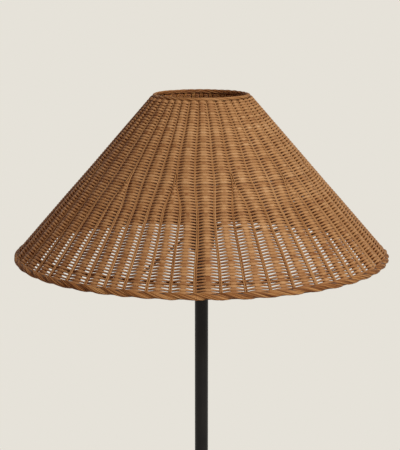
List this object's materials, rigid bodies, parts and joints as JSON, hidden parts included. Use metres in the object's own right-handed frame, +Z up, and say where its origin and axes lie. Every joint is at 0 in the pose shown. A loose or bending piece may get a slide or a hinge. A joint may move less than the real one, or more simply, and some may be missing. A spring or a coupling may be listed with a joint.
{
  "type": "floor lamp",
  "caption": "Floor lamp: conical shade woven from rattan on a wire frame, clamped to a screw lampholder with an opal bulb, on a slim black pole with a weighted round base.",
  "frame": {"origin": "on the floor, under the middle of the round base", "axes": "+Z up along the pole; the side that the picture shows faces -Y; the lead's bush is at the back, +Y"},
  "size_m": [0.5994, 0.5994, 1.5971],
  "materials": {
    "foam": "closed-cell foam",
    "cast_iron": "as cast",
    "black_paint": "satin black powder coat",
    "black_plastic": "satin",
    "zinc": "zinc plated",
    "nickel": "nickel plated",
    "aluminium": "plain",
    "brass": "plain",
    "ceramic": "glazed",
    "white_plastic": "satin white",
    "opal": "opal diffuser",
    "rattan": "natural rattan, clear lacquer",
    "rattan_dark": "natural rattan, clear lacquer",
    "brown_wire": "brown coated steel wire"
  },
  "bodies": {
    "stand": {"base_pad": "foam", "base_weight": "cast_iron", "base_cover": "black_paint", "lead_bush": "black_plastic", "base_washer": "zinc", "base_nut": "zinc", "base_nipple": "zinc", "pole_lower_tube": "black_paint", "pole_lower_foot_insert": "zinc", "pole_lower_head_insert": "zinc", "pole_middle_tube": "black_paint", "pole_middle_foot_insert": "zinc", "pole_middle_head_insert": "zinc", "pole_middle_joint_nipple": "zinc", "pole_upper_tube": "black_paint", "pole_upper_foot_insert": "zinc", "pole_upper_head_insert": "zinc", "pole_upper_joint_nipple": "zinc", "lampholder_cap": "black_plastic", "lampholder_nipple": "zinc", "lampholder_skirt": "black_plastic", "lampholder_core": "ceramic", "lampholder_screw_shell": "brass", "lampholder_centre_contact": "brass", "terminal_screw_left": "brass", "terminal_screw_right": "brass", "lower_shade_ring": "black_plastic"},
    "shade": {"shade_weave": "rattan", "shade_lower_border": "rattan_dark", "shade_upper_border": "rattan_dark", "shade_wire_ring": "brown_wire", "spider_ring": "brown_wire", "spider_arm_1": "brown_wire", "spider_arm_2": "brown_wire", "spider_arm_3": "brown_wire"},
    "ring": {"upper_shade_ring": "black_plastic"},
    "bulb": {"bulb_contact": "brass", "bulb_insulator": "black_plastic", "bulb_screw_cap": "nickel", "bulb_collar": "white_plastic", "bulb_led_board": "aluminium", "bulb_globe": "opal"}
  },
  "joints": [
    {"name": "shade_turn", "type": "hinge", "parent": "stand", "child": "shade", "pos_m": [0, 0, 1.39], "axis": [0, 0, 1], "continuous": true},
    {"name": "shade_ring_unscrew", "type": "slide", "parent": "stand", "child": "ring", "axis": [0, 0, 1], "range_m": [0, 0.024]},
    {"name": "bulb_lift", "type": "slide", "parent": "stand", "child": "bulb", "axis": [0, 0, 1], "range_m": [0, 0.25]}
  ]
}
